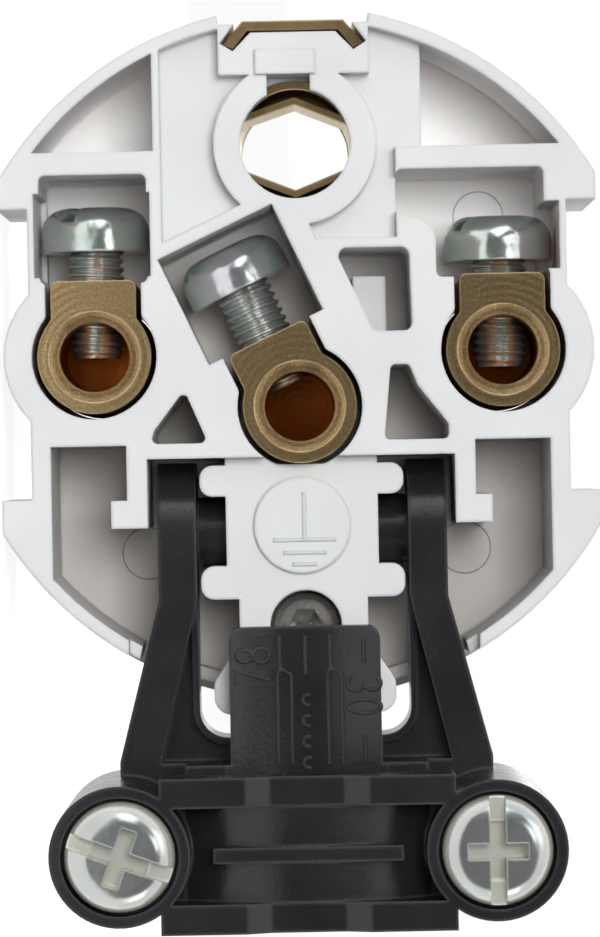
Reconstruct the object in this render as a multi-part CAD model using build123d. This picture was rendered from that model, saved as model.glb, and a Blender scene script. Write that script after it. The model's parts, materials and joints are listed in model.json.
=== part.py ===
from build123d import *
import os

# The open insert of a rewireable angled plug, in millimetres.
# It is modelled in the plug's own frame: x to the right, z up and away from the cord, and
# height = -y above the pin face, so that the pins point along +y.
# At the end the whole plug is laid on its left side, as it comes to rest on a table, with the
# origin below the middle of its box.

# Insert body
BODY_RADIUS = 16.1        # rim, outside
FLANGE_RADIUS = 16.6      # disc of the pin face
FLANGE_THICK = 1.0
RIM_WALL = 0.6
BODY_HEIGHT = 11.0        # tops of the rim and of the terminal walls
FLOOR_TOP = 2.6
PLATEAU = 9.8             # sunk fields between the walls, and the top of the column
LOBE_REACH = 13.9         # half width at the four lobes
WAIST_HALF = 12.5         # half width between the lobes
WAIST_TOP = 6.9
WAIST_BOTTOM = -6.6
BULGE_RADIUS = 4.2        # rounded wall about each live pin
FLOOR_ROUND = 0.5         # corner radius of the pockets
POCKET_LOW = 9.5          # lower edge of the two upper pockets, above a rib
LEFT_POCKET = -6.6        # inner edges of the upper pockets
RIGHT_POCKET = 5.9
FIELD_LEFT = -6.25        # outer edges of the sunk fields beside the boss
FIELD_RIGHT = 4.65
FIELD_LOW = 3.0
FIELD_MIDDLE = 5.3
WINDOW_TOP = 8.45         # windows in front of the heads of the two live screws
WINDOW_LOW = 3.4
LEFT_WINDOW = (-2.45, 2.55)     # its sides, from the middle of the line pin
RIGHT_WINDOW = (-3.05, 2.0)     # and from the middle of the neutral pin
WINDOW_STEP = (-4.85, -1.5)
WINDOW_STEP_LOW = 6.2
WINDOW_ROUND = 0.3
STEP_ROUND = 1.1
HEAD_ROOM = 0.15          # round the head of a screw
HEAD_TRAVEL = 0.5         # above the head of a screw
HEAD_BELOW = 0.2          # between a head and the floor of its window
MIDDLE_POCKET = ((1.7, 4.85), (5.2, 4.85), (5.3, 0.95), (3.5, 0.95))
MIDDLE_BLOCK = (2.6, 4.15, 0.7, 3.65)
MIDDLE_BLOCK_TOP = 7.0
RIGHT_SLIT = ((4.25, -0.6), (5.1, -0.6), (5.5, -1.6), (6.9, -3.4), (6.9, -4.1), (3.9, -4.1))
LEFT_SLIT = ((-5.35, -1.6), (-4.3, -4.1), (-6.95, -4.1), (-6.8, -3.5))
SLIT_ROUND = 0.25
CAVITY_HALF = 11.6        # outer edges of the two lower cavities
CAVITY_TOP = -4.15
HOOK = (7.15, 8.1, 8.85)  # inner edge of a hook, its stem and its toe
HOOK_END = -8.0
HOOK_TOE = -6.7

# Pins and terminals
PIN_HALF = 9.5            # half of the 19 mm pin spacing
PIN_RADIUS = 2.4
PIN_LENGTH = 19.0
PIN_COLLAR = 2.75         # radius of the collar that sits in the insert, flush with the pin face
PIN_GAP = 0.05
RING_RADIUS = 2.65        # round part of the keyhole-shaped terminal
NECK_WIDTH = 3.97
NECK_TOP = 3.55
TERMINAL_TOP = 10.8
TERMINAL_GAP = 0.25       # moulded pocket about a terminal
TERMINAL_ROUND = 0.35
BORE_RADIUS = 1.62        # wire bore
BORE_FLOOR = 3.6
BORE_CHAMFER = 0.5
EARTH_X = 0.0
EARTH_Z = -2.46
EARTH_LEAN = 25.0         # degrees, to the upper left
EARTH_WALL_RADIUS = 4.1
EARTH_WALL_REACH = 9.6
EARTH_POCKET_HALF = 2.95
EARTH_POCKET_END = 9.0

# Terminal screws
SCREW_RADIUS = 1.35
SCREW_GAP = 0.03
SCREW_LENGTH = 5.0
HEAD_RADIUS = 2.55
HEAD_HEIGHT = 2.1
SLOT_WIDTH = 0.7
SLOT_DEPTH = 0.7
CROSS_REACH = 1.35
CROSS_DEPTH = 1.2
SCREW_AXIS = (FLOOR_TOP + TERMINAL_TOP) / 2
LINE_HEAD = 5.0           # underside of each head, from the middle of its bore
NEUTRAL_HEAD = 4.25
EARTH_HEAD = 6.17

# Earth contacts
EARTH_HOLE_Z = 9.75
EARTH_HOLE_RADIUS = 2.57
EARTH_BOSS_RADIUS = 3.8
SLEEVE_RADIUS = 3.0
SLEEVE_WALL = 0.4
SLEEVE_GAP = 0.05
SLEEVE_TOP = 9.3
LEAF_BOTTOM = 5.0
LEAF_THICK = 0.35
UPPER_LEAF = ((-3, 0.9), (0, 1.9), (3, 0.7))      # V of each leaf, from the middle of the hole
LOWER_LEAF = ((-3, -0.9), (0, -2.1), (3, -0.9))
BOW_BOTTOM = 1.2
BOW_THICK = 0.5
BOW_HALF = 1.9
BOW_GAP = 0.1
BOW_EYE_RADIUS = 4.0
CLIP_OUTSIDE = 15.5       # outer face of a side contact, from the middle
CLIP_HALF = 2.35
CLIP_FOOT = 3.25
CLIP_DEPTH = 1.3
CLIP_THICK = 0.45
CLIP_TOP = 10.3           # end of the upper side contact
LOWER_CLIP_TOP = 6.2
CLIP_GAP = 0.15
BAY_HALF = 3.5            # block in the rim round the upper side contact
BAY_TOP = 15.3
BLOCK_LOW = 12.95         # lower edge of that block
BLOCK_PAD = (-1.8, 1.0, 14.1)   # raised rectangle on it: its sides and its upper edge
BLOCK_PAD_RISE = 0.2
NOTCH = (-1.25, 0.75)     # sunk notch between the block and the earth-pin hole
NOTCH_DEPTH = 1.0         # below the sunk fields
RIVET_RADIUS = 1.3
RIVET_GAP = 0.05

# Column, flanges and foot
COLUMN_HALF = 3.55
COLUMN_TOP_Z = -4.8
FLANGE_HALF = 4.75
UPPER_FLANGE = (-6.6, -5.15)
LOWER_FLANGE = (-11.4, -9.85)
COLUMN_ROUND = 0.6
NECK_HALF = 3.0
DISC_Z = -8.0
DISC_RADIUS = 2.25
DISC_RISE = 0.25
FOOT_HALF = 4.25
FOOT_END = -16.8
FOOT_START = -13.4
FOOT_SHOULDER = -15.3
FOOT_NECK_END = -14.95
FOOT_ROUND = 0.8
FOOT_BOTTOM = 6.5
RELIEF_HALF = 8.15         # the rim's ends are lower still where the flared arms swing up
RELIEF_BOTTOM = 9.35
GATE_START = -12.3        # the rim is cut down from here on, where the arms cross it
FOOT_TOP = 9.3
CENTRE_SCREW_X = 0.1
CENTRE_SCREW_Z = -12.7
CENTRE_HOLE_RADIUS = 1.67
CENTRE_HEAD_RADIUS = 1.5
CENTRE_SHANK_RADIUS = 1.0
CENTRE_SEAT = 6.0
CENTRE_HEAD_TOP = 8.6
CENTRE_TIP = 0.3
CENTRE_CHAMFER = 0.3
HEX_RADIUS = 0.8
HEX_DEPTH = 1.2

# Strain relief
PIVOT_Z = -8.3
PIVOT_HEIGHT = 6.5
PIVOT_RADIUS = 1.65
PIVOT_GAP = 0.05
PIVOT_END_GAP = 0.2
PIVOT_END = 2.8           # inner end of each pivot, from the middle
ARM_INNER = 4.95
ARM_OUTER = 6.75
ARM_EYE_RADIUS = 3.3
ARM_BOTTOM = 5.0
ARM_TOP = 9.8
ARM_BEND_Z = -11.4
ARM_FOOT_HALF = 8.7
ARM_WIDTH = 1.95          # of the flared stretch
EYE_FACET = (1.9, 3.4)    # flat at the end of an arm: where it starts, and its far end
FACET_LOW = 6.9           # its lower edge
WEB_TOP = 7.9             # thin web between an arm and the cord window
LIP_TOP = 8.7             # raised edge of the cord window
LIP_WIDTH = 0.32
WINDOW_CORNER = 1.3       # corner radius of the cord window
BASE_START = -17.9
BLOCK_START = -19.0       # the thick base starts here
BASE_END = -26.0
BASE_TOP = 12.0
TONGUE_HALF = 3.5
TONGUE_START = -12.67
TONGUE_BOTTOM = 10.1
TONGUE_ROUND = 0.6
TRAY_RADIUS = 7.5         # hollow of the tongue and the base, where the cord lies
TRAY_BOTTOM = 11.0
CLAMP_HALF = 8.53         # half of the spacing of the clamp screws
CLAMP_Z = -22.73
CLAMP_BOSS_RADIUS = 3.2
CLAMP_SEAT = 12.6         # where the saddle meets the bosses
SADDLE_TOP = 17.4
SADDLE_HALF = 6.7
SADDLE_START = -19.25
SADDLE_END = -26.3
SADDLE_FLANGE = 1.35
ARCH_HALF = 5.6
ARCH_SPRING = 13.8
ARCH_CROWN = 15.9
ARCH_THICK = 0.9
DIP_HALF = 1.7            # flat middle of the dip in each flange
DIP_SLOPE = 1.1
DIP_TOP = 16.85
RIB_HALF = 4.3            # rib across the middle of the saddle
RIB_WIDTH = 0.7
RIB_TOP = 17.2
CLAMP_SHANK_RADIUS = 1.5
CLAMP_SHANK_GAP = 0.02
SADDLE_HOLE_GAP = 0.2
CLAMP_HEAD_RADIUS = 2.52
CLAMP_HEAD_HEIGHT = 1.9
CLAMP_HEAD_SEAT = 16.2
CLAMP_HEAD_GAP = 0.15
CLAMP_TIP = 6.0
CLAMP_HOLE_END = 5.5       # blind end of the hole below a clamp screw
SWING_GAP = 0.4           # between the insert and what swings over it
SIDE_GAP = 0.25           # beside an arm


# Drawing helpers: each takes a flat outline and gives it thickness
def front(outline, low, high):
    """An outline in x and z, between two heights."""
    return extrude(Plane.XZ.offset(low) * outline, amount=high - low)


def along(outline, bottom, top):
    """An outline in x and height, between two values of z."""
    plane = Plane(origin=(0, 0, top), x_dir=(1, 0, 0), z_dir=(0, 0, -1))
    return extrude(plane * outline, amount=top - bottom)


def across(outline, left, right):
    """An outline in z and height, between two values of x."""
    plane = Plane(origin=(left, 0, 0), x_dir=(0, 0, 1), z_dir=(1, 0, 0))
    return extrude(plane * outline, amount=right - left)


def patch(left, right, bottom, top):
    """A rectangle given by its four sides."""
    return Pos((left + right) / 2, (bottom + top) / 2) * Rectangle(right - left, top - bottom)


def shape(*points):
    """A closed outline through a few corners."""
    return make_face(Polyline(*points, close=True))


def rounded(outline, radius=FLOOR_ROUND):
    """The same outline with every corner rounded."""
    return fillet(outline.vertices(), radius)


def mirrored(outline):
    return outline + mirror(outline, Plane.YZ)


# Shared outlines
def keyhole(gap=0.0):
    """Round terminal with a square neck, about the middle of its wire bore."""
    neck = patch(-NECK_WIDTH / 2 - gap, NECK_WIDTH / 2 + gap, 0, NECK_TOP + gap)
    outline = Circle(RING_RADIUS + gap) + neck
    corners = [v for v in outline.vertices() if abs(abs(v.X) - NECK_WIDTH / 2 - gap) < 0.001]
    return fillet(corners, TERMINAL_ROUND)


def at_earth(outline):
    return Pos(EARTH_X, EARTH_Z) * Rot(0, 0, EARTH_LEAN) * outline


def body_outline(radius):
    outline = Circle(radius) & Rectangle(2 * LOBE_REACH, 2 * radius)
    waist = patch(-radius, radius, WAIST_BOTTOM, WAIST_TOP) - Rectangle(2 * WAIST_HALF, 2 * radius)
    outline -= waist
    for side in (-1, 1):
        outline += Pos(side * PIN_HALF, 0) * Circle(BULGE_RADIUS)
    return outline


def earth_housing():
    """Raised wall round the earth terminal and its screw."""
    reach = patch(-EARTH_WALL_RADIUS, EARTH_WALL_RADIUS, 0, EARTH_WALL_REACH)
    return at_earth(Circle(EARTH_WALL_RADIUS) + reach)


def clip_section(side=1, gap=0.0):
    """Bent channel of a side contact, seen along the pins, or the groove that takes it."""
    outer = CLIP_OUTSIDE + gap
    inner = CLIP_OUTSIDE - CLIP_THICK - gap
    foot = CLIP_OUTSIDE - CLIP_DEPTH
    half = [(CLIP_HALF + gap, outer), (CLIP_FOOT + gap, foot + CLIP_THICK / 2),
            (CLIP_FOOT - CLIP_THICK, foot - gap), (CLIP_HALF - CLIP_THICK / 2 - gap, inner)]
    points = half + [(-x, z) for x, z in reversed(half)]
    return shape(*[(x, side * z) for x, z in points])


def bow_outline(gap=0.0):
    reach = CLIP_OUTSIDE - CLIP_THICK / 2
    outline = patch(-BOW_HALF - gap, BOW_HALF + gap, -reach, reach)
    return outline + Pos(0, EARTH_HOLE_Z) * Circle(BOW_EYE_RADIUS + gap)


def arm_outside(z):
    """Outer edge of an arm, which flares below its bend."""
    flare = (ARM_FOOT_HALF - ARM_OUTER) / (ARM_BEND_Z - BASE_START + 1)
    return ARM_OUTER + flare * max(0, ARM_BEND_Z - z)


# Pockets of the insert, each as an outline and the height of its floor
def upper_pockets():
    inside = Circle(BODY_RADIUS - RIM_WALL)
    left = inside & patch(-BODY_RADIUS, LEFT_POCKET, POCKET_LOW, BODY_RADIUS)
    right = inside & patch(RIGHT_POCKET, BODY_RADIUS, POCKET_LOW, BODY_RADIUS)
    return left + right


def screw_windows():
    """Windows in front of the heads of the line screw and the neutral screw."""
    left, right, step = [(side * PIN_HALF + low, side * PIN_HALF + high) for side, (low, high) in
                         ((-1, LEFT_WINDOW), (1, RIGHT_WINDOW), (1, WINDOW_STEP))]
    narrow = rounded(patch(*step, WINDOW_STEP_LOW, WINDOW_TOP), WINDOW_ROUND)
    corner = patch(right[0] - STEP_ROUND, right[0], WINDOW_STEP_LOW - STEP_ROUND, WINDOW_STEP_LOW)
    corner -= Pos(right[0] - STEP_ROUND, WINDOW_STEP_LOW - STEP_ROUND) * Circle(STEP_ROUND)
    return (rounded(patch(*left, WINDOW_LOW, WINDOW_TOP), WINDOW_ROUND) + narrow + corner
            + rounded(patch(*right, WINDOW_LOW, WINDOW_TOP), WINDOW_ROUND))


def head_windows():
    reach = HEAD_RADIUS + HEAD_ROOM
    windows = [patch(side * PIN_HALF - reach, side * PIN_HALF + reach, NECK_TOP + HEAD_ROOM,
                     head + HEAD_HEIGHT + HEAD_TRAVEL) for side, head in ((-1, LINE_HEAD), (1, NEUTRAL_HEAD))]
    return windows[0] + windows[1]


def small_pockets():
    middle = rounded(shape(*MIDDLE_POCKET), FLOOR_ROUND * 0.8)
    return middle + rounded(shape(*RIGHT_SLIT), SLIT_ROUND) + rounded(shape(*LEFT_SLIT), SLIT_ROUND)


def lower_cavities():
    """Hollow either side of the column, with a hook that hangs down into it."""
    stem_in, stem_out, toe = HOOK
    inside = Circle(BODY_RADIUS - RIM_WALL)
    side = inside & patch(COLUMN_HALF, CAVITY_HALF, -BODY_RADIUS, CAVITY_TOP)
    side -= patch(0, stem_out, COLUMN_TOP_Z, 0)
    side -= patch(stem_in, stem_out, HOOK_END, COLUMN_TOP_Z)
    side -= patch(stem_in, toe, HOOK_END, HOOK_TOE)
    return mirrored(side)


def field_outline():
    """Sunk fields either side of the boss of the earth-pin hole, up to the rim."""
    left = patch(FIELD_LEFT, 0, FIELD_LOW, BODY_RADIUS)
    right = patch(0, RIGHT_POCKET, POCKET_LOW, BODY_RADIUS) + patch(0, FIELD_RIGHT, FIELD_MIDDLE, POCKET_LOW)
    fields = (left + right) & Circle(BODY_RADIUS - RIM_WALL)
    fields -= patch(-BAY_HALF, BAY_HALF, BLOCK_LOW, BODY_RADIUS)
    return fields - Pos(0, EARTH_HOLE_Z) * Circle(EARTH_BOSS_RADIUS) - earth_housing()


# Parts
def insert_body():
    body = front(body_outline(BODY_RADIUS), 0, BODY_HEIGHT)
    body += front(body_outline(FLANGE_RADIUS), 0, FLANGE_THICK)
    for outline, floor in ((upper_pockets(), FLOOR_TOP), (screw_windows(), FLOOR_TOP),
                           (head_windows(), SCREW_AXIS - HEAD_RADIUS - HEAD_BELOW), (small_pockets(), FLOOR_TOP),
                           (lower_cavities(), FLOOR_TOP), (field_outline(), PLATEAU)):
        body -= front(outline, floor, BODY_HEIGHT)
    body -= front(at_earth(patch(-EARTH_POCKET_HALF, EARTH_POCKET_HALF, NECK_TOP, EARTH_POCKET_END)),
                  FLOOR_TOP, BODY_HEIGHT)
    body -= front(at_earth(keyhole(TERMINAL_GAP)), FLOOR_TOP, BODY_HEIGHT)
    left, right, low, high = MIDDLE_BLOCK
    body += front(patch(left, right, low, high), FLOOR_TOP - 0.1, MIDDLE_BLOCK_TOP)
    for side in (-1, 1):
        pin = Pos(side * PIN_HALF, 0)
        body -= front(pin * keyhole(TERMINAL_GAP), FLOOR_TOP, BODY_HEIGHT)
        body -= front(pin * Circle(PIN_COLLAR + PIN_GAP), 0, FLOOR_TOP)
    return earth_cuts(column_cuts(body))


def foot_outline():
    """Foot below the column, with sloping shoulders."""
    corners = ((-NECK_HALF, FOOT_START), (NECK_HALF, FOOT_START), (FOOT_HALF, FOOT_SHOULDER),
               (FOOT_HALF, FOOT_END), (-FOOT_HALF, FOOT_END), (-FOOT_HALF, FOOT_SHOULDER))
    outline = shape(*corners)
    return fillet([v for v in outline.vertices() if v.Y < FOOT_START - 0.1], FOOT_ROUND)


def column_cuts(body):
    """The column is lower than the walls, and the arms lie in gaps cut through the rim."""
    inner = Circle(BODY_RADIUS - RIM_WALL)
    body -= front(patch(-COLUMN_HALF, COLUMN_HALF, -BODY_RADIUS - 1, COLUMN_TOP_Z), PLATEAU, BODY_HEIGHT)
    waist = mirrored(patch(NECK_HALF, COLUMN_HALF, LOWER_FLANGE[0] - 3.0, LOWER_FLANGE[0]) & inner)
    body -= front(waist, FLOOR_TOP, BODY_HEIGHT)
    start, end = GATE_START, -BODY_RADIUS - 1
    narrow, wide = (arm_outside(z) + SIDE_GAP for z in (start, end))
    gate = shape((0, start), (narrow, start), (wide, end), (0, end))
    body -= front(mirrored(gate), ARM_BOTTOM - SWING_GAP, BODY_HEIGHT)
    body -= front(patch(-RELIEF_HALF, RELIEF_HALF, end, start), RELIEF_BOTTOM, BODY_HEIGHT)
    for low, high in (UPPER_FLANGE, LOWER_FLANGE):
        flange = rounded(patch(-FLANGE_HALF, FLANGE_HALF, low, high), COLUMN_ROUND)
        body += front(flange, FLOOR_TOP - 0.1, PLATEAU)
    neck = patch(-NECK_HALF, NECK_HALF, FOOT_START - 0.5, LOWER_FLANGE[0] + 0.5)
    body += front(neck, FLOOR_TOP - 0.1, PLATEAU)
    body += front(foot_outline(), FOOT_BOTTOM, FOOT_TOP)
    body += front(patch(-NECK_HALF, NECK_HALF, FOOT_NECK_END, FOOT_START), FLOOR_TOP - 0.1, FOOT_TOP)
    body += front(Pos(0, DISC_Z) * Circle(DISC_RADIUS), PLATEAU - 0.1, PLATEAU + DISC_RISE)
    seat = Pos(PIVOT_Z, PIVOT_HEIGHT) * Circle(PIVOT_RADIUS + PIVOT_GAP)
    body -= across(seat, PIVOT_END - PIVOT_END_GAP, FLANGE_HALF)
    body -= across(seat, -FLANGE_HALF, PIVOT_END_GAP - PIVOT_END)
    centre = Pos(CENTRE_SCREW_X, CENTRE_SCREW_Z)
    body -= front(centre * Circle(CENTRE_HOLE_RADIUS), CENTRE_SEAT, BODY_HEIGHT)
    return body - front(centre * Circle(CENTRE_SHANK_RADIUS + RIVET_GAP), 0, CENTRE_SEAT)


def earth_cuts(body):
    """Earth-pin hole, tunnel of the earth bow and bays of the side contacts."""
    hole = Pos(0, EARTH_HOLE_Z)
    body -= front(hole * Circle(EARTH_HOLE_RADIUS), 0, BODY_HEIGHT)
    body -= front(hole * Circle(SLEEVE_RADIUS + SLEEVE_GAP), BOW_BOTTOM, SLEEVE_TOP + BOW_GAP)
    body -= front(patch(*NOTCH, EARTH_HOLE_Z + EARTH_HOLE_RADIUS / 2, BLOCK_LOW), PLATEAU - NOTCH_DEPTH,
                  BODY_HEIGHT)
    left, right, top = BLOCK_PAD
    body += front(patch(left, right, BLOCK_LOW, top), BODY_HEIGHT - 0.1, BODY_HEIGHT + BLOCK_PAD_RISE)
    body -= front(bow_outline(BOW_GAP), BOW_BOTTOM, BOW_BOTTOM + BOW_THICK + BOW_GAP)
    body -= front(patch(-BAY_HALF, BAY_HALF, BAY_TOP, BODY_RADIUS + 1), 0, BODY_HEIGHT)
    body -= front(patch(-BAY_HALF, BAY_HALF, -BODY_RADIUS - 1, -BAY_TOP), 0, FOOT_BOTTOM)
    body -= front(clip_section(1, CLIP_GAP), BOW_BOTTOM, BODY_HEIGHT)
    body -= front(clip_section(-1, CLIP_GAP), BOW_BOTTOM, FOOT_BOTTOM)
    return body - front(Pos(EARTH_X, EARTH_Z) * Circle(RIVET_RADIUS + RIVET_GAP), BOW_BOTTOM, FLOOR_TOP)


def terminal_block():
    """Keyhole-shaped brass block with its wire bore and screw hole."""
    block = front(keyhole(), FLOOR_TOP, TERMINAL_TOP)
    block -= front(Circle(BORE_RADIUS), BORE_FLOOR, TERMINAL_TOP)
    rims = [e for e in block.edges().filter_by(GeomType.CIRCLE) if abs(e.radius - BORE_RADIUS) < 0.001]
    block = chamfer(min(rims, key=lambda e: e.center().Y), BORE_CHAMFER)
    hole = Cylinder(SCREW_RADIUS + SCREW_GAP, NECK_TOP + 1, align=(Align.CENTER, Align.CENTER, Align.MIN))
    return block - Pos(0, -SCREW_AXIS, 0) * hole


def live_pin(side):
    shank = front(Circle(PIN_RADIUS), -PIN_LENGTH, FLOOR_TOP)
    shank = fillet(shank.edges().group_by(Axis.Y)[-1], PIN_RADIUS * 0.6)
    shank += front(Circle(PIN_COLLAR), 0, FLOOR_TOP)
    return Pos(side * PIN_HALF, 0, 0) * (terminal_block() + shank)


def earth_terminal():
    rivet = front(Circle(RIVET_RADIUS), BOW_BOTTOM, FLOOR_TOP)
    return Pos(EARTH_X, 0, EARTH_Z) * Rot(0, -EARTH_LEAN, 0) * (terminal_block() + rivet)


def earth_bow():
    bow = front(bow_outline(), BOW_BOTTOM, BOW_BOTTOM + BOW_THICK)
    bow += front(clip_section(1), BOW_BOTTOM, CLIP_TOP)
    bow += front(clip_section(-1), BOW_BOTTOM, LOWER_CLIP_TOP)
    for x, z, radius in ((0, EARTH_HOLE_Z, SLEEVE_RADIUS + SLEEVE_GAP),
                         (EARTH_X, EARTH_Z, RIVET_RADIUS + RIVET_GAP),
                         (CENTRE_SCREW_X, CENTRE_SCREW_Z, CENTRE_SHANK_RADIUS + RIVET_GAP)):
        bow -= front(Pos(x, z) * Circle(radius), BOW_BOTTOM, BOW_BOTTOM + BOW_THICK)
    return bow


def earth_pin_sleeve():
    """Rolled sleeve with an upper and a lower V leaf that grip the earth pin."""
    bore = Circle(SLEEVE_RADIUS - SLEEVE_WALL)
    sleeve = front(Circle(SLEEVE_RADIUS) - bore, BOW_BOTTOM, SLEEVE_TOP)
    inside = SLEEVE_RADIUS - SLEEVE_WALL / 2
    for points, side in ((UPPER_LEAF, 1), (LOWER_LEAF, -1)):
        far = side * (SLEEVE_RADIUS + 1)
        leaf = shape(*points, (points[-1][0], far), (points[0][0], far))
        shelf = leaf & Circle(inside)
        hollow = Pos(0, side * LEAF_THICK) * leaf
        sleeve += front(shelf - hollow, LEAF_BOTTOM, SLEEVE_TOP)
        sleeve += front(shelf, LEAF_BOTTOM, LEAF_BOTTOM + LEAF_THICK)
    return Pos(0, 0, EARTH_HOLE_Z) * sleeve


def pan_screw(radius, length, head_radius, head_height):
    """Screw along +z with its head's underside at the origin, plain below the head."""
    low = (Align.CENTER, Align.CENTER, Align.MIN)
    head = Cylinder(head_radius, head_height, align=low)
    head = fillet(head.edges().filter_by(GeomType.CIRCLE).group_by(Axis.Z)[-1], head_height * 0.55)
    shank = Pos(0, 0, -length) * Cylinder(radius, length, align=low)
    shank = chamfer(shank.edges().filter_by(GeomType.CIRCLE).group_by(Axis.Z)[0], radius * 0.25)
    slot = Pos(0, 0, head_height - SLOT_DEPTH) * Box(3 * head_radius, SLOT_WIDTH, SLOT_DEPTH, align=low)
    cross = Box(2 * CROSS_REACH, SLOT_WIDTH, CROSS_DEPTH, align=low)
    cross += Box(SLOT_WIDTH, 2 * CROSS_REACH, CROSS_DEPTH, align=low)
    return head + shank - slot - Pos(0, 0, head_height - CROSS_DEPTH) * cross


def terminal_screw(turn):
    return Rot(0, 0, turn) * pan_screw(SCREW_RADIUS, SCREW_LENGTH, HEAD_RADIUS, HEAD_HEIGHT)


def clamp_screw(side, turn):
    length = CLAMP_HEAD_SEAT - CLAMP_TIP
    screw = pan_screw(CLAMP_SHANK_RADIUS, length, CLAMP_HEAD_RADIUS, CLAMP_HEAD_HEIGHT)
    return Pos(side * CLAMP_HALF, -CLAMP_HEAD_SEAT, CLAMP_Z) * Rot(90, 0, 0) * Rot(0, 0, turn) * screw


def centre_screw():
    place = Pos(CENTRE_SCREW_X, CENTRE_SCREW_Z)
    screw = front(place * Circle(CENTRE_HEAD_RADIUS), CENTRE_SEAT, CENTRE_HEAD_TOP)
    screw = chamfer(screw.edges().filter_by(GeomType.CIRCLE).group_by(Axis.Y)[0], CENTRE_CHAMFER)
    screw += front(place * Circle(CENTRE_SHANK_RADIUS), CENTRE_TIP, CENTRE_SEAT)
    recess = place * RegularPolygon(HEX_RADIUS, 6)
    return screw - front(recess, CENTRE_HEAD_TOP - HEX_DEPTH, CENTRE_HEAD_TOP)


def cord_window(grow=0.0):
    """Opening between an arm and the tongue, with a rounded outer corner."""
    window = patch(0, ARM_INNER + grow, BASE_START - grow, ARM_BEND_Z)
    corner = [v for v in window.vertices() if v.X > 1 and v.Y < BASE_START + 0.1]
    return fillet(corner, WINDOW_CORNER + grow)


def arm_side():
    """Right arm seen from the open back: straight at its eye, flared below its bend."""
    end = PIVOT_Z + ARM_EYE_RADIUS
    foot = arm_outside(BLOCK_START)
    return shape((ARM_INNER, end), (ARM_OUTER, end), (ARM_OUTER, ARM_BEND_Z), (foot, BLOCK_START),
                 (foot - ARM_WIDTH, BLOCK_START), (ARM_INNER, ARM_BEND_Z))


def arm_web():
    """Thin web between the arm, the cord window and the base."""
    foot = arm_outside(BLOCK_START) - ARM_WIDTH / 2
    web = shape((0, ARM_BEND_Z), (ARM_INNER + ARM_WIDTH / 2, ARM_BEND_Z), (foot, BLOCK_START),
                (foot, BLOCK_START - 0.5), (0, BLOCK_START - 0.5))
    return web - cord_window()


def strain_relief_frame():
    low = PIVOT_HEIGHT - ARM_EYE_RADIUS
    facet_start, facet_end = EYE_FACET
    profile = Pos(PIVOT_Z, PIVOT_HEIGHT) * Circle(ARM_EYE_RADIUS)
    profile += patch(BLOCK_START, PIVOT_Z, ARM_BOTTOM, ARM_TOP)
    profile -= shape((PIVOT_Z + facet_start, ARM_TOP), (PIVOT_Z + facet_end, FACET_LOW),
                     (PIVOT_Z + facet_end, ARM_TOP))
    frame = front(mirrored(arm_side()), low, ARM_TOP) & across(profile, -ARM_FOOT_HALF, ARM_FOOT_HALF)
    frame += front(mirrored(arm_web()), ARM_BOTTOM, WEB_TOP)
    lip = arm_web() & cord_window(LIP_WIDTH)
    frame += front(mirrored(lip), ARM_BOTTOM, LIP_TOP)
    frame += front(patch(-ARM_FOOT_HALF, ARM_FOOT_HALF, BASE_END, BLOCK_START), ARM_BOTTOM, ARM_TOP)
    frame += front(patch(-ARCH_HALF, ARCH_HALF, BASE_END, BLOCK_START), ARM_TOP - 0.1, BASE_TOP)
    frame += front(rounded(patch(-TONGUE_HALF, TONGUE_HALF, BLOCK_START - 1, TONGUE_START), TONGUE_ROUND),
                   TONGUE_BOTTOM, BASE_TOP)
    frame += front(patch(-TONGUE_HALF, TONGUE_HALF, BLOCK_START - 1, BASE_START), ARM_BOTTOM, BASE_TOP)
    for hand in (-1, 1):
        boss = Pos(hand * CLAMP_HALF, CLAMP_Z)
        frame += front(boss * Circle(CLAMP_BOSS_RADIUS), ARM_BOTTOM, CLAMP_SEAT)
        frame -= front(boss * Circle(CLAMP_SHANK_RADIUS + CLAMP_SHANK_GAP), CLAMP_HOLE_END,
                       CLAMP_SEAT)
    frame -= along(Pos(0, TRAY_BOTTOM + TRAY_RADIUS) * Circle(TRAY_RADIUS), BASE_END - 1, TONGUE_START + 1)
    pivot = Pos(PIVOT_Z, PIVOT_HEIGHT) * Circle(PIVOT_RADIUS)
    frame += across(pivot, PIVOT_END, ARM_INNER + 0.1)
    return frame + across(pivot, -ARM_INNER - 0.1, -PIVOT_END)


def arch_outline():
    """The bridge of the saddle in x and height, bowed over the cord."""
    inner = ThreePointArc((-ARCH_HALF, ARCH_SPRING), (0, ARCH_CROWN), (ARCH_HALF, ARCH_SPRING))
    sides = Polyline((ARCH_HALF, ARCH_SPRING), (SADDLE_HALF, ARCH_SPRING),
                     (SADDLE_HALF, ARCH_SPRING + ARCH_THICK), (ARCH_HALF, ARCH_SPRING + ARCH_THICK))
    outer = ThreePointArc((ARCH_HALF, ARCH_SPRING + ARCH_THICK), (0, ARCH_CROWN + ARCH_THICK),
                          (-ARCH_HALF, ARCH_SPRING + ARCH_THICK))
    close = Polyline((-ARCH_HALF, ARCH_SPRING + ARCH_THICK), (-SADDLE_HALF, ARCH_SPRING + ARCH_THICK),
                     (-SADDLE_HALF, ARCH_SPRING), (-ARCH_HALF, ARCH_SPRING))
    return make_face(Curve() + [inner, sides, outer, close])


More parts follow.
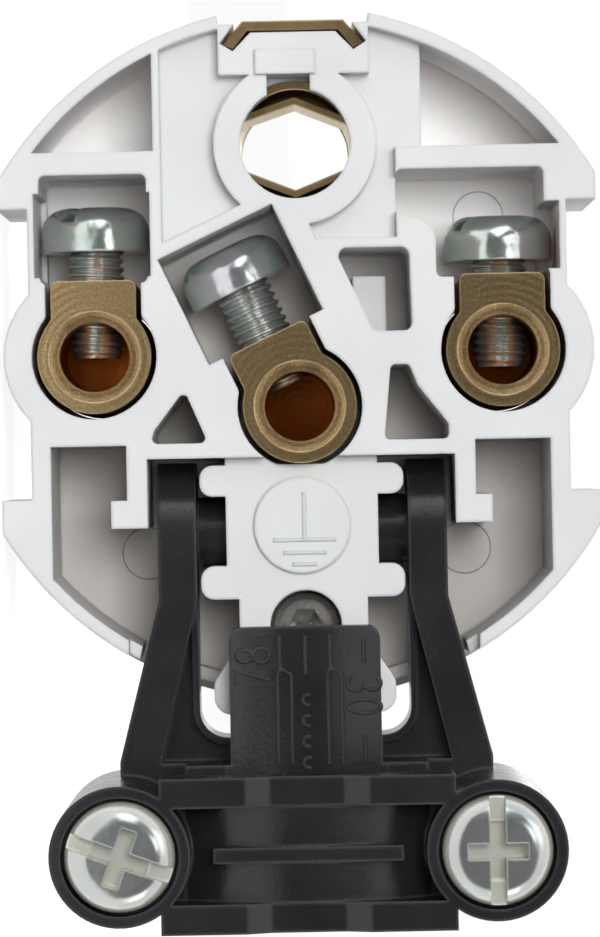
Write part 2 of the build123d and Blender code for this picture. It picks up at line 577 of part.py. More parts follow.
def clamp_saddle():
    saddle = along(arch_outline(), SADDLE_END, SADDLE_START)
    flange = arch_outline() + patch(-SADDLE_HALF, SADDLE_HALF, ARCH_SPRING + 0.1, SADDLE_TOP)
    flange -= shape((-DIP_HALF - DIP_SLOPE, SADDLE_TOP), (-DIP_HALF, DIP_TOP), (DIP_HALF, DIP_TOP),
                    (DIP_HALF + DIP_SLOPE, SADDLE_TOP))
    left, right = (-ARCH_HALF, ARCH_SPRING), (ARCH_HALF, ARCH_SPRING)
    flange -= make_face(Curve() + [ThreePointArc(left, (0, ARCH_CROWN), right), Line(right, left)])
    saddle += along(flange, SADDLE_START - SADDLE_FLANGE, SADDLE_START)
    saddle += along(flange, SADDLE_END, SADDLE_END + SADDLE_FLANGE)
    middle = (SADDLE_START + SADDLE_END) / 2
    saddle += front(patch(-RIB_HALF, RIB_HALF, middle - RIB_WIDTH / 2, middle + RIB_WIDTH / 2),
                    ARCH_CROWN + ARCH_THICK / 2, RIB_TOP)
    for hand in (-1, 1):
        boss = Pos(hand * CLAMP_HALF, CLAMP_Z)
        saddle += front(boss * Circle(CLAMP_BOSS_RADIUS), CLAMP_SEAT, SADDLE_TOP)
    for hand in (-1, 1):
        boss = Pos(hand * CLAMP_HALF, CLAMP_Z)
        saddle -= front(boss * Circle(CLAMP_SHANK_RADIUS + SADDLE_HOLE_GAP), CLAMP_SEAT, SADDLE_TOP)
        saddle -= front(boss * Circle(CLAMP_HEAD_RADIUS + CLAMP_HEAD_GAP), CLAMP_HEAD_SEAT, SADDLE_TOP)
    return saddle


# Assembly
def screw_at(x, z, lean, head, turn):
    seat = Pos(x, -SCREW_AXIS, z) * Rot(0, -lean, 0) * Pos(0, 0, head)
    return seat * terminal_screw(turn)


def main():
    nodes = {
        "insert_body": insert_body(),
        "line_pin": live_pin(-1),
        "neutral_pin": live_pin(1),
        "earth_terminal": earth_terminal(),
        "earth_bow": earth_bow(),
        "earth_pin_sleeve": earth_pin_sleeve(),
        "line_screw": screw_at(-PIN_HALF, 0, 0, LINE_HEAD, 60),
        "neutral_screw": screw_at(PIN_HALF, 0, 0, NEUTRAL_HEAD, 35),
        "earth_screw": screw_at(EARTH_X, EARTH_Z, EARTH_LEAN, EARTH_HEAD, 20),
        "centre_screw": centre_screw(),
        "strain_relief_frame": strain_relief_frame(),
        "clamp_saddle": clamp_saddle(),
        "clamp_screw_left": clamp_screw(-1, -20),
        "clamp_screw_right": clamp_screw(1, 90),
    }
    laid = {name: Rot(0, -90, 0) * solid for name, solid in nodes.items()}
    boxes = [solid.bounding_box() for solid in laid.values()]
    low = [min(tuple(box.min)[i] for box in boxes) for i in range(3)]
    high = [max(tuple(box.max)[i] for box in boxes) for i in range(3)]
    shift = (-(low[0] + high[0]) / 2, -(low[1] + high[1]) / 2, -low[2])
    place = Pos(*shift)
    print("the middle of the pin face lies at", [round(value, 4) for value in shift])
    os.makedirs("parts", exist_ok=True)
    for name, solid in laid.items():
        export_step(place * solid, f"parts/{name}.step")


main()
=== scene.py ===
import json
import math

import bmesh
import bpy
from mathutils import Matrix, Vector


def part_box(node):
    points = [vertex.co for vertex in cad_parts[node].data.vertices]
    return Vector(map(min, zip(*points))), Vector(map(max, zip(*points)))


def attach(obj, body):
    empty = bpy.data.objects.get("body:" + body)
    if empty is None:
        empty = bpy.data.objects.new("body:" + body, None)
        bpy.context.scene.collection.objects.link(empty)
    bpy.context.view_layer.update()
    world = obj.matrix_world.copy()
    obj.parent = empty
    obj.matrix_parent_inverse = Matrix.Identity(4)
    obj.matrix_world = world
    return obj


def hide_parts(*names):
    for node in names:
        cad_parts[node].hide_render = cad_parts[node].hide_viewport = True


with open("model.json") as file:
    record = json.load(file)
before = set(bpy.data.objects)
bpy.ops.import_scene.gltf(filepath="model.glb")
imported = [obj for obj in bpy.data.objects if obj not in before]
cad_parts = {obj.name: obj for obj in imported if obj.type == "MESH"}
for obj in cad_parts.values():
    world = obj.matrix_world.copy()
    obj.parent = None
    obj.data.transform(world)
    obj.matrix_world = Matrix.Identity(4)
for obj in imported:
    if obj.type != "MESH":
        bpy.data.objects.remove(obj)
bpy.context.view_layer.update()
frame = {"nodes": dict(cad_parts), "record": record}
nodes = frame["nodes"]
mounts = {m["name"]: m for m in frame["record"]["mounts"]}
MM = 0.001

# The plug's own directions in the row frame: right and up as the open back is seen, and out
# of the back towards the viewer. All three start at the middle of the pin face.
FACE = Vector(mounts["pin_face"]["pos_m"])
RIGHT = Vector((0, 0, 1))
UP = Vector((-1, 0, 0))
OUT = Vector((0, -1, 0))

# Heights above the pin face and other sizes of the plug, in millimetres, and the lean of the
# earth terminal
FLOOR_TOP = 2.6
COLUMN_DISC_TOP = 10.05
TERMINAL_TOP = 10.8
EARTH_LEAN = math.radians(25)
HEAD_HEIGHT = 2.1
CLAMP_HEAD_TOP = 18.1
SCREW_LENGTH = 5.0
SCREW_RADIUS = 1.35
TRAY_BOTTOM = 11.0
TRAY_RADIUS = 7.5

# Details that are drawn here, in millimetres
THREAD_CORE = 1.1
THREAD_CREST = 1.33
THREAD_PITCH = 0.4
THREAD_LEAD = 1.5          # turns over which the thread grows from the tip
THREAD_FLAT = 1.25         # above 1 the crest is flat
THREAD_RINGS = 8           # rings of points for each turn
THREAD_SIDES = 40
HIDDEN_CORE = 0.9          # what is left of the plain shank, inside the threaded one
SHANK_SLACK = 0.05         # in finding the points of the plain shank
HEAD_SLACK = 0.01
STROKE = 0.1
DIGIT_HEIGHT = 1.55
DIGIT_WIDTH = 0.7
DIGIT_STEP = 1.45 * DIGIT_WIDTH
SIGN_STROKE = 0.1
EJECTOR_STROKE = 0.035


def at(x, z, height):
    """A point given in the plug's own directions, in millimetres."""
    return FACE + (RIGHT * x + UP * z + OUT * height) * MM


def basis(x_axis, y_axis, z_axis, origin):
    """A transform whose columns are three directions and a place."""
    matrix = Matrix((x_axis, y_axis, z_axis)).transposed().to_4x4()
    matrix.translation = origin
    return matrix


# Camera, at the photograph's viewing angle
CAMERA_DISTANCE = 0.22
AIM = (-0.05, -5.36, TERMINAL_TOP)
VIEW_HEIGHT = 43.5         # millimetres across the long side of the picture at the aim
CAMERA_ROLL = math.radians(1.12)
SENSOR = 36.0
CLIP = (0.01, 20)


def make_camera():
    data = bpy.data.cameras.new("camera")
    data.sensor_fit = "AUTO"
    data.sensor_width = SENSOR
    data.lens = SENSOR * CAMERA_DISTANCE / (VIEW_HEIGHT * MM)
    data.clip_start, data.clip_end = CLIP
    camera = bpy.data.objects.new("camera", data)
    bpy.context.scene.collection.objects.link(camera)
    right = RIGHT * math.cos(CAMERA_ROLL) - UP * math.sin(CAMERA_ROLL)
    up = RIGHT * math.sin(CAMERA_ROLL) + UP * math.cos(CAMERA_ROLL)
    camera.matrix_world = basis(right, up, OUT, at(*AIM) + OUT * CAMERA_DISTANCE)
    bpy.context.scene.camera = camera


# Materials
class Nodes:
    """Adds and links the shader nodes of one material."""

    def __init__(self, name):
        self.material = bpy.data.materials.new(name)
        self.material.use_nodes = True
        self.tree = self.material.node_tree
        self.shader = self.tree.nodes["Principled BSDF"]
        self.place = self.add("ShaderNodeTexCoord").outputs["Object"]

    def add(self, kind, **settings):
        node = self.tree.nodes.new(kind)
        for key, value in settings.items():
            setattr(node, key, value)
        return node

    def link(self, source, target):
        self.tree.links.new(source, target)

    def set(self, **values):
        for key, value in values.items():
            self.shader.inputs[key.replace("_", " ")].default_value = value

    def noise(self, scale, detail=3.0, rough=0.5):
        node = self.add("ShaderNodeTexNoise")
        node.inputs["Scale"].default_value = scale
        node.inputs["Detail"].default_value = detail
        node.inputs["Roughness"].default_value = rough
        self.link(self.place, node.inputs["Vector"])
        return node.outputs["Fac"]

    def ramp(self, source, *stops):
        node = self.add("ShaderNodeValToRGB")
        ramp = node.color_ramp
        while len(ramp.elements) < len(stops):
            ramp.elements.new(1.0)
        for element, (position, colour) in zip(ramp.elements, stops):
            element.position = position
            element.color = (*colour, 1)
        self.link(source, node.inputs["Fac"])
        return node.outputs["Color"]

    def span(self, source, low, high, start=0.0, end=1.0):
        node = self.add("ShaderNodeMapRange")
        for key, value in (("From Min", start), ("From Max", end), ("To Min", low), ("To Max", high)):
            node.inputs[key].default_value = value
        self.link(source, node.inputs["Value"])
        return node.outputs["Result"]

    def math(self, operation, first, second):
        node = self.add("ShaderNodeMath", operation=operation)
        for value, socket in ((first, node.inputs[0]), (second, node.inputs[1])):
            if isinstance(value, (int, float)):
                socket.default_value = value
            else:
                self.link(value, socket)
        return node.outputs[0]

    def mix(self, factor, first, second):
        node = self.add("ShaderNodeMix", data_type="RGBA")
        self.link(factor, node.inputs[0])
        self.link(first, node.inputs[6])
        self.link(second, node.inputs[7])
        return node.outputs[2]

    def height(self):
        """Height above the pin face in millimetres, from the row's own y."""
        split = self.add("ShaderNodeSeparateXYZ")
        self.link(self.place, split.inputs["Vector"])
        return self.span(split.outputs["Y"], 0, 100, FACE.y, FACE.y - 100 * MM)

    def up(self):
        """Distance above the live pins in millimetres, from the row's own x."""
        split = self.add("ShaderNodeSeparateXYZ")
        self.link(self.place, split.inputs["Vector"])
        return self.span(split.outputs["X"], 0, 100, FACE.x, FACE.x - 100 * MM)

    def edges(self, width):
        """Mask of the painted edge highlights: 1 along the outer edges of a piece and 0 on its faces, over
        a width in millimetres.
        """
        bevel = self.add("ShaderNodeBevel", samples=4)
        bevel.inputs["Radius"].default_value = width * MM
        plain = self.add("ShaderNodeNewGeometry")
        dot = self.add("ShaderNodeVectorMath", operation="DOT_PRODUCT")
        self.link(bevel.outputs["Normal"], dot.inputs[0])
        self.link(plain.outputs["Normal"], dot.inputs[1])
        return self.span(dot.outputs["Value"], 1, 0, 0.86, 0.995)

    def colour(self, value):
        node = self.add("ShaderNodeRGB")
        node.outputs[0].default_value = (*value, 1)
        return node.outputs[0]

    def relief(self, source, depth, round_edges):
        """Bump of a depth in millimetres over edges that are rounded by a radius in millimetres."""
        bevel = self.add("ShaderNodeBevel", samples=4)
        bevel.inputs["Radius"].default_value = round_edges * MM
        bump = self.add("ShaderNodeBump")
        bump.inputs["Strength"].default_value = 1.0
        bump.inputs["Distance"].default_value = depth * MM
        self.link(source, bump.inputs["Height"])
        self.link(bevel.outputs["Normal"], bump.inputs["Normal"])
        self.link(bump.outputs["Normal"], self.shader.inputs["Normal"])


PAINTED_POCKET_LIGHT_FROM = (3, 6.5)    # above the live pins: where the painted light of the upper pockets starts and is full; below it lies the painted shade of the lower cavities
PAINTED_FLOOR_TONE_UNTIL = 9.0       # height from which the walls have their own tone; below it the floors carry the painted light and shade


def white_moulding():
    """White plastic, with painted shade, warmer and darker, low down in the lower cavities and painted
    light, paler, low down in the upper pockets.
    """
    made = Nodes("white_moulding")
    mottle = made.noise(180, 3)
    tone = made.ramp(mottle, (0.3, (0.61, 0.61, 0.62)), (0.7, (0.66, 0.66, 0.66)))
    # Painted light and shade: the cavity colour is painted shade, darker and warmer, and the pocket colour
    # is painted light, paler, both laid on the low floors by place
    painted_cavity_shade = made.ramp(mottle, (0.3, (0.48, 0.455, 0.43)), (0.7, (0.53, 0.505, 0.48)))
    painted_pocket_light = made.ramp(mottle, (0.3, (0.90, 0.888, 0.876)), (0.7, (0.93, 0.923, 0.915)))
    painted_floor_light_and_shade = made.mix(made.span(made.up(), 0, 1, *PAINTED_POCKET_LIGHT_FROM), painted_cavity_shade, painted_pocket_light)
    # Mask of the painted light and shade: 1 low down on the floors, 0 on the tops of the walls
    low = made.span(made.height(), 1, 0, FLOOR_TOP, PAINTED_FLOOR_TONE_UNTIL)
    made.link(made.mix(low, tone, painted_floor_light_and_shade), made.shader.inputs["Base Color"])
    made.link(made.span(made.noise(900, 2), 0.36, 0.5), made.shader.inputs["Roughness"])
    made.relief(made.noise(2600, 3, 0.6), 0.005, 0.26)
    made.set(IOR=1.5, Subsurface_Weight=0.15, Subsurface_Scale=0.0012)
    return made.material


# Colour of the painted highlight along the edges of the brass parts
BRASS_PAINTED_HIGHLIGHT = (0.86, 0.68, 0.40)


def brass(name, light, dark, rough):
    """Satin brass of the bent sheet parts, with a painted highlight along its edges."""
    made = Nodes(name)
    tone = made.ramp(made.noise(900, 4, 0.65), (0.3, dark), (0.68, light))
    # painted highlight along the edges
    tone = made.mix(made.edges(0.14), tone, made.colour(BRASS_PAINTED_HIGHLIGHT))
    made.link(tone, made.shader.inputs["Base Color"])
    dull = made.span(made.noise(2400, 4, 0.65), rough - 0.08, rough + 0.14)
    made.link(dull, made.shader.inputs["Roughness"])
    made.relief(made.noise(5200, 4, 0.7), 0.010, 0.12)
    made.set(Metallic=1.0)
    return made.material


def turned_brass(name, middle):
    """Brass of a terminal: satin outside with a painted highlight along its edges, and turned inside its
    wire bore, where it carries a painted orange-brown shade and reflection.
    """
    made = Nodes(name)
    face = made.ramp(made.noise(8000, 4, 0.7), (0.36, (0.42, 0.285, 0.135)), (0.55, (0.52, 0.37, 0.185)),
                     (0.70, (0.76, 0.59, 0.35)))
    # painted highlight along the rims of the terminal
    face = made.mix(made.edges(0.11), face, made.colour(BRASS_PAINTED_HIGHLIGHT))
    # painted shade and reflection of the brass inside the bore: dark orange-brown, laid on by height
    painted_bore_shade = made.ramp(made.noise(500, 3), (0.3, (0.30, 0.085, 0.012)), (0.7, (0.46, 0.16, 0.03)))
    height = made.height()
    below = made.span(height, 1, 0, TERMINAL_TOP - 1.4, TERMINAL_TOP - 0.5)
    above = made.span(height, 0, 1, 1.0, FLOOR_TOP)
    tone = made.mix(made.math("MULTIPLY", below, above), face, painted_bore_shade)
    made.link(tone, made.shader.inputs["Base Color"])
    made.link(made.span(made.noise(2600, 4, 0.65), 0.25, 0.37), made.shader.inputs["Roughness"])
    shift = made.add("ShaderNodeVectorMath", operation="SUBTRACT")
    made.link(made.place, shift.inputs[0])
    shift.inputs[1].default_value = middle
    rings = made.add("ShaderNodeTexWave", wave_type="RINGS", rings_direction="Y")
    rings.inputs["Scale"].default_value = 900
    rings.inputs["Distortion"].default_value = 1.5
    made.link(shift.outputs[0], rings.inputs["Vector"])
    grain = made.math("ADD", made.noise(8000, 4, 0.7), made.math("MULTIPLY", rings.outputs["Fac"], 0.4))
    made.relief(grain, 0.012, 0.12)
    made.set(Metallic=1.0)
    return made.material


def plated(name, rough, stops):
    """Bright zinc plating with the faint rainbow tints of its passivation."""
    made = Nodes(name)
    tone = made.ramp(made.noise(420, 2, 0.45), *stops)
    made.link(tone, made.shader.inputs["Base Color"])
    made.link(made.span(made.noise(1800, 3), rough - 0.06, rough + 0.1), made.shader.inputs["Roughness"])
    dents = made.math("MULTIPLY", made.noise(620, 1.5), 45)
    made.relief(made.math("ADD", made.noise(3800, 3), dents), 0.005, 0.16)
    made.set(Metallic=0.94)
    return made.material


def clamp_zinc():
    """Plating of the clamp screws, paler and duller down in their slots."""
    made = Nodes("clamp_zinc")
    tone = made.ramp(made.noise(300, 2, 0.45), (0.3, (0.53, 0.53, 0.52)), (0.5, (0.57, 0.60, 0.59)),
                     (0.68, (0.42, 0.51, 0.51)))
    pale = made.ramp(made.noise(700, 3), (0.3, (0.70, 0.70, 0.60)), (0.7, (0.80, 0.81, 0.74)))
    sunk = made.span(made.height(), 1, 0, CLAMP_HEAD_TOP - 0.45, CLAMP_HEAD_TOP - 0.2)
    made.link(made.mix(sunk, tone, pale), made.shader.inputs["Base Color"])
    made.link(made.span(sunk, 0.9, 0.6), made.shader.inputs["Metallic"])
    made.link(made.span(made.noise(1500, 3), 0.14, 0.26), made.shader.inputs["Roughness"])
    made.relief(made.noise(3000, 3), 0.005, 0.14)
    return made.material


def black_moulding():
    """Satin black plastic with a fine grain and a painted highlight, paler, along its edges."""
    made = Nodes("black_moulding")
    tone = made.ramp(made.noise(260, 3), (0.3, (0.009, 0.0092, 0.0105)), (0.7, (0.016, 0.0163, 0.0188)))
    # painted highlight: the edges are paler, as if they caught the light
    tone = made.mix(made.edges(0.2), tone, made.colour((0.05, 0.051, 0.055)))
    made.link(tone, made.shader.inputs["Base Color"])
    made.link(made.span(made.noise(700, 3, 0.6), 0.18, 0.34), made.shader.inputs["Roughness"])
    made.relief(made.noise(4200, 3, 0.65), 0.013, 0.25)
    made.set(IOR=1.5)
    return made.material


def paint(target, material):
    target.data.materials.clear()
    target.data.materials.append(material)


# Mesh helpers
def new_piece(name, mesh, body, material, smooth=40):
    if smooth:
        mesh.shade_smooth()
        mesh.set_sharp_from_angle(angle=math.radians(smooth))
    piece = bpy.data.objects.new(name, mesh)
    bpy.context.scene.collection.objects.link(piece)
    paint(piece, material)
    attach(piece, body)
    return piece


def add_rings(bm, rings):
    """Joins rings of points, each of the same length, into a closed skin."""
    loops = [[bm.verts.new(point) for point in ring] for ring in rings]
    for first, second in zip(loops, loops[1:]):
        for i in range(len(first)):
            j = (i + 1) % len(first)
            bm.faces.new((first[i], first[j], second[j], second[i]))
    bm.faces.new(loops[0][::-1])
    bm.faces.new(loops[-1])


def finish_mesh(bm, name):
    bmesh.ops.recalc_face_normals(bm, faces=bm.faces)
    mesh = bpy.data.meshes.new(name)
    bm.to_mesh(mesh)
    bm.free()
    return mesh


# Threads of the terminal screws
def thread_radius(turn, along):
    """Radius of the threaded shank at an angle in turns and a distance from the tip."""
    phase = (along / THREAD_PITCH - turn) % 1
    crest = 1 - abs(2 * phase - 1)
    start = min(1, along / (THREAD_LEAD * THREAD_PITCH))
    return THREAD_CORE + (THREAD_CREST - THREAD_CORE) * start * min(1, THREAD_FLAT * crest)


def threaded_screw(node, axis, bore, material):
    """The screw of a terminal, as its node is but with a cut thread on its shank."""
    low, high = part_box(node)
    origin = Vector(mounts[bore]["pos_m"])
    origin.y = (low[1] + high[1]) / 2
    bm = bmesh.new()
    bm.from_mesh(nodes[node].data)
    under = max((v.co - origin).dot(axis) for v in bm.verts) / MM - HEAD_HEIGHT
    for v in bm.verts:
        along = (v.co - origin).dot(axis)
        radial = v.co - origin - axis * along
        if along / MM < under + HEAD_SLACK and radial.length / MM < SCREW_RADIUS + SHANK_SLACK:
            v.co = origin + axis * along + radial * (HIDDEN_CORE / SCREW_RADIUS)
    side = axis.cross(OUT).normalized()
    steps = round(SCREW_LENGTH / THREAD_PITCH * THREAD_RINGS)
    rings = []
    for i in range(steps + 1):
        distance = SCREW_LENGTH * i / steps
        ring = []
        for j in range(THREAD_SIDES):
            angle = math.tau * j / THREAD_SIDES
            radius = thread_radius(j / THREAD_SIDES, distance) * MM
            out = side * math.cos(angle) + OUT * math.sin(angle)
            ring.append(origin + axis * (under - SCREW_LENGTH + distance) * MM + out * radius)
        rings.append(ring)
    add_rings(bm, rings)
    piece = new_piece(f"{node}_threaded", finish_mesh(bm, f"{node}_threaded"), "insert", material,
                      50)
    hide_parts(node)


# Raised marks on the tongue of the strain relief and on the column
def tray_point(x, z):
    """A point on the hollow of the tongue."""
    return at(x, z, TRAY_BOTTOM + TRAY_RADIUS - math.sqrt(TRAY_RADIUS ** 2 - x * x))


def ridges(name, lines, thickness, body, material):
    """Half-round ridges along lines of points, each a pair of its points and whether it closes."""
    curve = bpy.data.curves.new(name, "CURVE")
    curve.dimensions = "3D"
    curve.bevel_depth = thickness * MM
    curve.bevel_resolution = 2
    curve.use_fill_caps = True
    for points, closed in lines:
        spline = curve.splines.new("POLY")
        spline.points.add(len(points) - 1)
        for target, point in zip(spline.points, points):
            target.co = (*point, 1)
        spline.use_cyclic_u = closed
    drawn = bpy.data.objects.new(name + "_curve", curve)
    bpy.context.scene.collection.objects.link(drawn)
    mesh = bpy.data.meshes.new_from_object(drawn)
    mesh.name = name
    bpy.data.objects.remove(drawn)
    return new_piece(name, mesh, body, material, 60)


def arc(middle, reach, start, end, count=14):
    """Points of part of an ellipse, between two angles in degrees."""
    angles = [math.radians(start + (end - start) * i / count) for i in range(count + 1)]
    return [(middle[0] + reach[0] * math.cos(a), middle[1] + reach[1] * math.sin(a)) for a in angles]


def digit_lines(digit):
    """Strokes of a digit in a unit box, each with whether it closes."""
    if digit == "0":
        return [(arc((0.5, 0.5), (0.45, 0.5), 0, 345, 23), True)]
    if digit == "3":
        return [(arc((0.42, 0.76), (0.45, 0.24), 150, -90), False),
                (arc((0.42, 0.26), (0.5, 0.26), 90, -150), False)]
    if digit == "7":
        return [([(0.05, 1), (0.95, 1), (0.3, 0)], False)]
    return [(arc((0.5, 0.76), (0.4, 0.24), 0, 345, 17), True),
            (arc((0.5, 0.26), (0.48, 0.26), 0, 345, 17), True)]


def number_lines(text, x, z, way):
    """A number on the tongue that reads upwards (way 1) or downwards (way -1)."""
    lines = []
    for index, digit in enumerate(text):
        start = z + way * index * DIGIT_STEP
        for points, closed in digit_lines(digit):
            placed = [tray_point(x - way * (v - 0.5) * DIGIT_HEIGHT, start + way * u * DIGIT_WIDTH)
                      for u, v in points]
            lines.append((placed, closed))
    return lines


def straight(x, start, end, count=2):
    """Points along the tongue, straight down its hollow."""
    return [tray_point(x, start + (end - start) * i / count) for i in range(count + 1)]


GAUGE_TOP = -13.1
GAUGE_SPLIT = -14.9
GAUGE_END = -19.1
GAUGE_FORK = 0.3               # length of the slanting stretch of an outer line
MIDDLE_LINE = 0.02
CORE_LINES = (-1.17, 1.17)     # single lines of the outer cores
CORE_SPREAD = (-0.12, 0.52)    # and of the two sides that each of them splits into
BEADS = 4                      # open rings below the middle line
BEAD_X = 0.1
BEAD_START = GAUGE_SPLIT - 1.2
BEAD_PITCH = 0.97
BEAD_RADIUS = 0.24
LEFT_NUMBER = ("78", -2.4, -15.35, 1)
RIGHT_NUMBER = ("30", 2.72, -15.05, -1)
DASHES = ((-13.3, -14.4), (-17.7, -19.0))   # above and below the right number


def tongue_marks(material):
    """Raised gauge lines, beads and two numbers in the hollow of the tongue."""
    lines = [(straight(MIDDLE_LINE, GAUGE_TOP, GAUGE_SPLIT), False)]
    fork = GAUGE_SPLIT + GAUGE_FORK
    for x in CORE_LINES:
        lines.append((straight(x, GAUGE_TOP, fork), False))
        for spread in CORE_SPREAD:
            side = [tray_point(x, fork), tray_point(x + spread, GAUGE_SPLIT)]
            lines.append((side + straight(x + spread, GAUGE_SPLIT, GAUGE_END), False))
    for i in range(BEADS):
        bead = arc((BEAD_X, BEAD_START - i * BEAD_PITCH), (BEAD_RADIUS, BEAD_RADIUS), 60, 300, 12)
        lines.append(([tray_point(x, z) for x, z in bead], False))
    lines += number_lines(*LEFT_NUMBER)
    lines += number_lines(*RIGHT_NUMBER)
    lines += [(straight(RIGHT_NUMBER[1], start, end), False) for start, end in DASHES]
    ridges("tongue_marks", lines, STROKE, "strain_relief", material)


SIGN_X = 0.1
SIGN_TOP = -6.45
SIGN_LINES = ((-8.68, 1.47), (-9.28, 1.0), (-9.82, 0.58))   # height on the disc and half width


def earth_sign(material):
    """Raised earth sign on the disc of the column."""
    def point(x, z):
        return at(x, z, COLUMN_DISC_TOP)

    lines = [([point(SIGN_X, SIGN_TOP), point(SIGN_X, SIGN_LINES[0][0])], False)]
    lines += [([point(SIGN_X - half, z), point(SIGN_X + half, z)], False) for z, half in SIGN_LINES]
    ridges("earth_sign", lines, SIGN_STROKE, "insert", material)


EJECTOR_MARKS = ((-7.4, -9.3, 1.25), (7.8, -9.3, 1.25), (8.75, 6.6, 1.2))   # x, z and radius


def ejector_marks(material):
    """Faint rings that the ejector pins left on the floors of the pockets."""
    lines = []
    for x, z, radius in EJECTOR_MARKS:
        ring = arc((x, z), (radius, radius), 0, 352.5, 47)
        lines.append(([at(px, pz, FLOOR_TOP) for px, pz in ring], True))
    ridges("ejector_marks", lines, EJECTOR_STROKE, "insert", material)


# Floor, lights and background
SEEING_RAYS = ("Is Camera Ray", "Is Glossy Ray", "Is Transmission Ray")


def pick_by_ray(tree, others, seen, output):
    """Shows one shader to the rays that see the background and another to all the rest."""
    link = tree.links.new
    path = tree.nodes.new("ShaderNodeLightPath")
    total = path.outputs[SEEING_RAYS[0]]
    for ray in SEEING_RAYS[1:]:
        add = tree.nodes.new("ShaderNodeMath")
        add.operation = "ADD"
        add.use_clamp = True
        link(total, add.inputs[0])
        link(path.outputs[ray], add.inputs[1])
        total = add.outputs[0]
    pick = tree.nodes.new("ShaderNodeMixShader")
    link(total, pick.inputs[0])
    link(others, pick.inputs[1])
    link(seen, pick.inputs[2])
    link(pick.outputs[0], output)


TABLE_SIZE = 12            # metres
TABLE_EDGE = -0.05         # where it ends, in front of the plug
TABLE_TONE = 0.8           # in the light that it throws on the plug
TABLE_SEEN_TONE = 0.35     # as the rays see it that see the background, which keeps its shadows
TABLE_SEEN_GLOW = 0.88
CARD_DISTANCE = 0.6        # metres from the pin face, behind the camera
CARD_SIZE = 1.0
CARD_GLOW = 0.12


def make_stage():
    """A white table, and a dark card that only polished surfaces mirror."""
    bpy.ops.mesh.primitive_plane_add(size=TABLE_SIZE, location=(0, TABLE_SIZE / 2 + TABLE_EDGE, 0))
    floor = bpy.context.object
    floor.name = "floor"
    made = Nodes("floor")
    plain = made.add("ShaderNodeBsdfDiffuse")
    plain.inputs["Color"].default_value = (TABLE_TONE, TABLE_TONE, TABLE_TONE, 1)
    part = made.add("ShaderNodeBsdfDiffuse")
    part.inputs["Color"].default_value = (TABLE_SEEN_TONE, TABLE_SEEN_TONE, TABLE_SEEN_TONE, 1)
    glow = made.add("ShaderNodeEmission")
    glow.inputs["Strength"].default_value = TABLE_SEEN_GLOW
    both = made.add("ShaderNodeAddShader")
    made.link(part.outputs[0], both.inputs[0])
    made.link(glow.outputs[0], both.inputs[1])
    end = made.tree.nodes["Material Output"].inputs["Surface"]
    pick_by_ray(made.tree, plain.outputs[0], both.outputs[0], end)
    paint(floor, made.material)
    bpy.ops.mesh.primitive_plane_add(size=CARD_SIZE)
    card = bpy.context.object
    card.name = "dark_card"
    card.matrix_world = basis(RIGHT, UP, OUT, at(0, 0, CARD_DISTANCE / MM))
    made = Nodes("dark_card")
    grey = made.add("ShaderNodeEmission")
    grey.inputs["Strength"].default_value = CARD_GLOW
    made.link(grey.outputs[0], made.tree.nodes["Material Output"].inputs["Surface"])
    paint(card, made.material)
    card.visible_camera = False
    card.visible_diffuse = False
    card.visible_transmission = False
    card.visible_shadow = False


SOFT_LIGHT = 0.17          # world light on dull faces, from the camera's side
SOFT_BEHIND = 0.5          # and from behind, on the side of the pins
SOFT_TURN = (0.1, 0.9)     # direction's y over which the one goes over into the other
SOFT_COLOUR = (0.96, 0.98, 1.0, 1)
WHITE_COLOUR = (1, 1, 1, 1)


def make_world():
    """White to the camera and in polished faces, and soft light on dull ones."""
    world = bpy.data.worlds.new("world")
    world.use_nodes = True
    bpy.context.scene.world = world
    tree = world.node_tree
    link = tree.links.new

    def add(kind, **values):
        node = tree.nodes.new(kind)
        for key, value in values.items():
            node.inputs[key.replace("_", " ")].default_value = value
        return node

    back = tree.nodes["Background"]
    back.inputs["Color"].default_value = SOFT_COLOUR
    white = add("ShaderNodeBackground", Color=WHITE_COLOUR)
    place = add("ShaderNodeTexCoord")
    split = add("ShaderNodeSeparateXYZ")
    link(place.outputs["Generated"], split.inputs["Vector"])
    start, full = SOFT_TURN
    behind = add("ShaderNodeMapRange", From_Min=start, From_Max=full, To_Min=SOFT_LIGHT, To_Max=SOFT_BEHIND)
    link(split.outputs["Y"], behind.inputs["Value"])
    link(behind.outputs["Result"], back.inputs["Strength"])
    end = tree.nodes["World Output"].inputs["Surface"]
    pick_by_ray(tree, back.outputs[0], white.outputs[0], end)


LAMP_AIM = (0, -5, 5)      # near the middle of the plug


def add_lamp(name, place, size, power, colour=(1, 1, 1), mirrored=True):
    """A soft square lamp that points at the middle of the plug."""
    data = bpy.data.lights.new(name, "AREA")
    data.shape = "SQUARE"
    data.size = size
    data.energy = power
    data.color = colour
    lamp = bpy.data.objects.new(name, data)
    bpy.context.scene.collection.objects.link(lamp)
    lamp.location = place
    lamp.rotation_euler = (at(*LAMP_AIM) - Vector(place)).to_track_quat("-Z", "Y").to_euler()
    lamp.visible_glossy = mirrored
    lamp.visible_camera = False


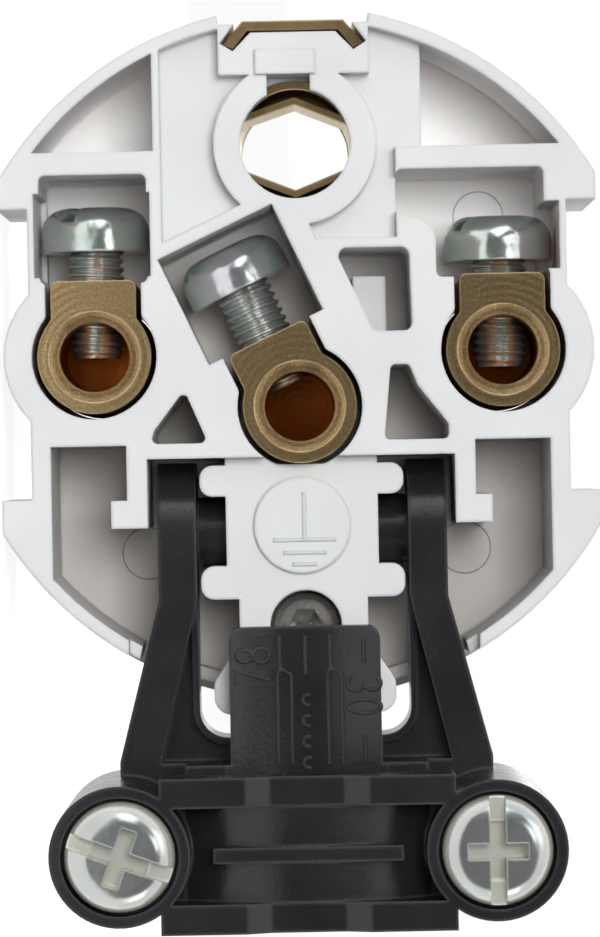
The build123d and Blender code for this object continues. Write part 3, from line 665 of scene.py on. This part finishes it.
make_camera()
make_stage()
make_world()
add_lamp("key", at(40, 240, 240), 0.12, 0.10, (0.95, 0.98, 1.0))
add_lamp("fill", at(230, 60, 170), 0.16, 0.07, (1.0, 0.97, 0.93))
add_lamp("low", at(60, -230, 160), 0.1, 0.05)
add_lamp("front", at(65, 60, 420), 0.15, 1.5, mirrored=False)
add_lamp("rear", at(160, 110, -300), 0.2, 0.55)
add_lamp("upper_glint", at(35, 175, 330), 0.08, 0.05)
add_lamp("right_glint", at(175, 30, 330), 0.08, 0.055)

# Materials of the carried-over pieces
WHITE = white_moulding()
BLACK = black_moulding()
SHEET = brass("brass_sheet", (0.58, 0.43, 0.21), (0.42, 0.30, 0.13), 0.32)
ZINC = plated("zinc_screw", 0.19, ((0.25, (0.66, 0.62, 0.70)), (0.42, (0.72, 0.75, 0.76)),
                                   (0.58, (0.60, 0.71, 0.66)), (0.78, (0.76, 0.74, 0.68))))
CLAMP_ZINC = clamp_zinc()
STEEL = plated("steel_screw", 0.26, ((0.3, (0.58, 0.56, 0.53)), (0.7, (0.72, 0.70, 0.67))))
BRASSES = {"line_pin": "line_wire_bore", "neutral_pin": "neutral_wire_bore",
           "earth_terminal": "earth_wire_bore"}
FINISHES = {"white_moulding": WHITE, "black_moulding": BLACK, "brass_sheet": SHEET, "zinc_screw": ZINC,
            "steel_screw": STEEL}
for row in frame["record"]["subparts"]:
    name = row["node"]
    if name.startswith("clamp_screw"):
        paint(nodes[name], CLAMP_ZINC)
    elif name in BRASSES:
        paint(nodes[name], turned_brass(f"brass_{name}", Vector(mounts[BRASSES[name]]["pos_m"])))
    else:
        paint(nodes[name], FINISHES[row["material_slot"]])

leaning = UP * math.cos(EARTH_LEAN) - RIGHT * math.sin(EARTH_LEAN)
threaded_screw("line_screw", UP, "line_wire_bore", ZINC)
threaded_screw("neutral_screw", UP, "neutral_wire_bore", ZINC)
threaded_screw("earth_screw", leaning, "earth_wire_bore", ZINC)
tongue_marks(BLACK)
earth_sign(WHITE)
ejector_marks(WHITE)

bpy.context.scene.view_settings.view_transform = "Standard"
